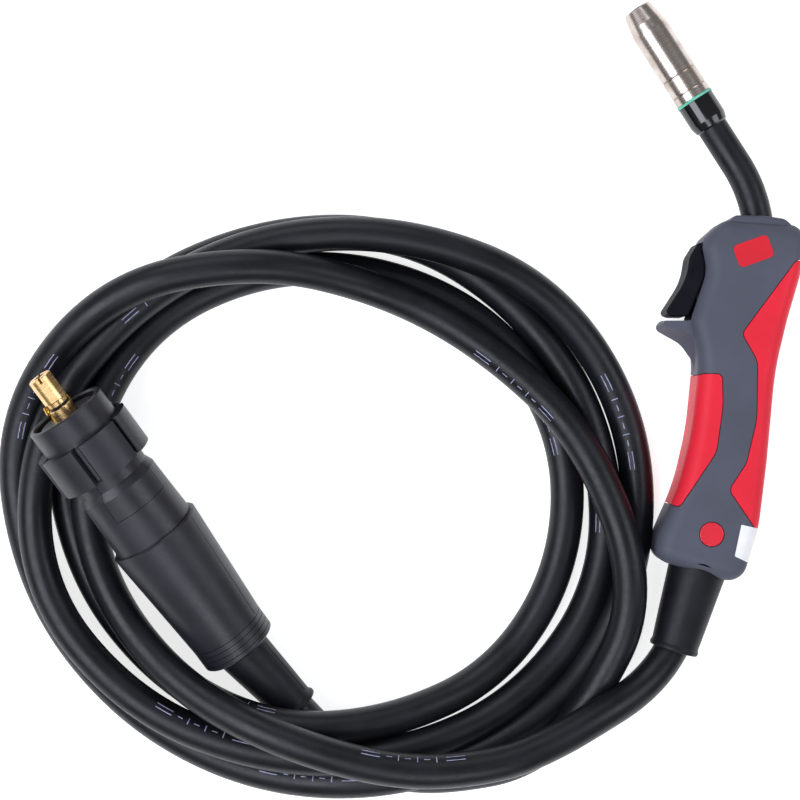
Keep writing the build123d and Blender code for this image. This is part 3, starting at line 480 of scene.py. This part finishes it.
# print on the sheath: bars and plain dashes from a marking wheel
# each group: distance of its middle along the cable in mm, and its roll round the sheath in degrees
printSettings = {
    "groups": [
        (176.0, 52.0), (457.0, 29.0), (731.0, 29.0), (1019.0, 56.0), (1579.0, 32.0), (1868.0, 34.0),
        (2149.0, 14.0), (2424.0, 16.0), (2711.0, 20.0), (2992.0, 16.0), (3276.0, 36.0),
    ],
    # (start, end, from, to) of each stroke in mm, along the cable and across it
    "strokes": [
        (-26.0, -16.6, 0.85, 1.3), (-26.0, -16.6, -1.3, -0.85),
        (-12.0, -11.55, -1.7, 1.7), (-8.5, -5.5, -0.2, 0.25), (-2.4, -1.95, -1.7, 1.7),
        (1.2, 4.2, -0.2, 0.25), (7.2, 7.65, -1.7, 1.7), (10.6, 13.4, -0.2, 0.25),
        (16.6, 26.0, 0.85, 1.3), (16.6, 26.0, -1.3, -0.85),
    ],
    "lift": 0.06,  # mm above the sheath
    "facetLength": 1.0, "facetWidth": 0.7,  # mm, about
}


# point and direction at a distance along the centre line, in metres
def cableAt(distance):
    index = 1
    while index < len(distances) - 1 and distances[index] < distance:
        index += 1
    share = (distance - distances[index - 1]) / (distances[index] - distances[index - 1])
    point = cableLine[index - 1].lerp(cableLine[index], share)
    return point, (cableLine[index] - cableLine[index - 1]).normalized()


printShape = bmesh.new()
printRadius = cableSettings["diameter"] / 2 + printSettings["lift"] * mm
for centre, roll in printSettings["groups"]:
    for start, end, low, high in printSettings["strokes"]:
        along = max(1, round((end - start) / printSettings["facetLength"]))
        across = max(1, round((high - low) / printSettings["facetWidth"]))
        rows = []
        for step in range(along + 1):
            point, way = cableAt((centre + start + (end - start) * step / along) * mm)
            sideways = way.cross(Vector((0, 0, 1))).normalized()
            upward = sideways.cross(way)
            row = []
            for part in range(across + 1):
                angle = (low + (high - low) * part / across) * mm / printRadius + math.radians(roll)
                outward = upward * math.cos(angle) + sideways * math.sin(angle)
                row.append(printShape.verts.new(point + outward * printRadius))
            rows.append(row)
        for row, following in zip(rows, rows[1:]):
            for part in range(across):
                printShape.faces.new((row[part], row[part + 1], following[part + 1], following[part]))
cablePrint = addPiece(
    "cablePrint", finishedMesh("cablePrint", printShape, smooth=True), cableInk, "torch",
)
print("cable and its print made")

# floor, lamps and sky
studioSettings = {
    "floor": 6.0, "floorColour": "#cfcfcf", "floorGlow": 0.78, "sky": 0.20, "lampColour": "#f0f3ff",
    "lampTarget": (-0.15, -0.03, 0.0),
    "lamps": [
        {"name": "keyLamp", "place": (-0.95, -0.35, 1.35), "size": 1.1, "power": 22.0},
        {"name": "fillLamp", "place": (1.25, 0.15, 1.25), "size": 0.9, "power": 9.0},
        {"name": "backLamp", "place": (-0.45, 1.45, 1.2), "size": 1.1, "power": 9.0},
        {"name": "frontLamp", "place": (0.15, -1.20, 1.45), "size": 0.8, "power": 8.0},
    ],
}
floorShape = bmesh.new()
half = studioSettings["floor"] / 2
corners = ((-half, -half), (half, -half), (half, half), (-half, half))
floorShape.faces.new([floorShape.verts.new((x, y, 0.0)) for x, y in corners])
floorMesh = bpy.data.meshes.new("floor")
floorShape.to_mesh(floorMesh)
floorShape.free()
floor = bpy.data.objects.new("floor", floorMesh)
scene.collection.objects.link(floor)
# opal acrylic of a light table, lit from below so that narrow gaps stay white
floorAcrylic = softSurface("acrylicOpalWhite", {
    "colour": studioSettings["floorColour"], "shade": "#cacaca", "roughness": (0.8, 0.9), "ior": 1.49,
    "cloud": 400.0, "grain": 3.0, "relief": 0.01,
})
floorShader = floorAcrylic.node_tree.nodes["Principled BSDF"]
floorShader.inputs["Emission Color"].default_value = linear("#ffffff")
floorShader.inputs["Emission Strength"].default_value = studioSettings["floorGlow"]
floorMesh.materials.append(floorAcrylic)

for lamp in studioSettings["lamps"]:
    lampData = bpy.data.lights.new(lamp["name"], "AREA")
    lampData.shape = "SQUARE"
    lampData.size = lamp["size"]
    lampData.energy = lamp["power"]
    lampData.color = linear(studioSettings["lampColour"])[:3]
    lampObject = bpy.data.objects.new(lamp["name"], lampData)
    lampObject.location = lamp["place"]
    aim = Vector(studioSettings["lampTarget"]) - lampObject.location
    lampObject.rotation_euler = aim.to_track_quat("-Z", "Y").to_euler()
    scene.collection.objects.link(lampObject)

world = bpy.data.worlds.new("studioSky")
scene.world = world
world.use_nodes = True
world.node_tree.nodes["Background"].inputs["Color"].default_value = linear("#ffffff")
world.node_tree.nodes["Background"].inputs["Strength"].default_value = studioSettings["sky"]
scene.view_settings.view_transform = "Standard"
print("studio made")
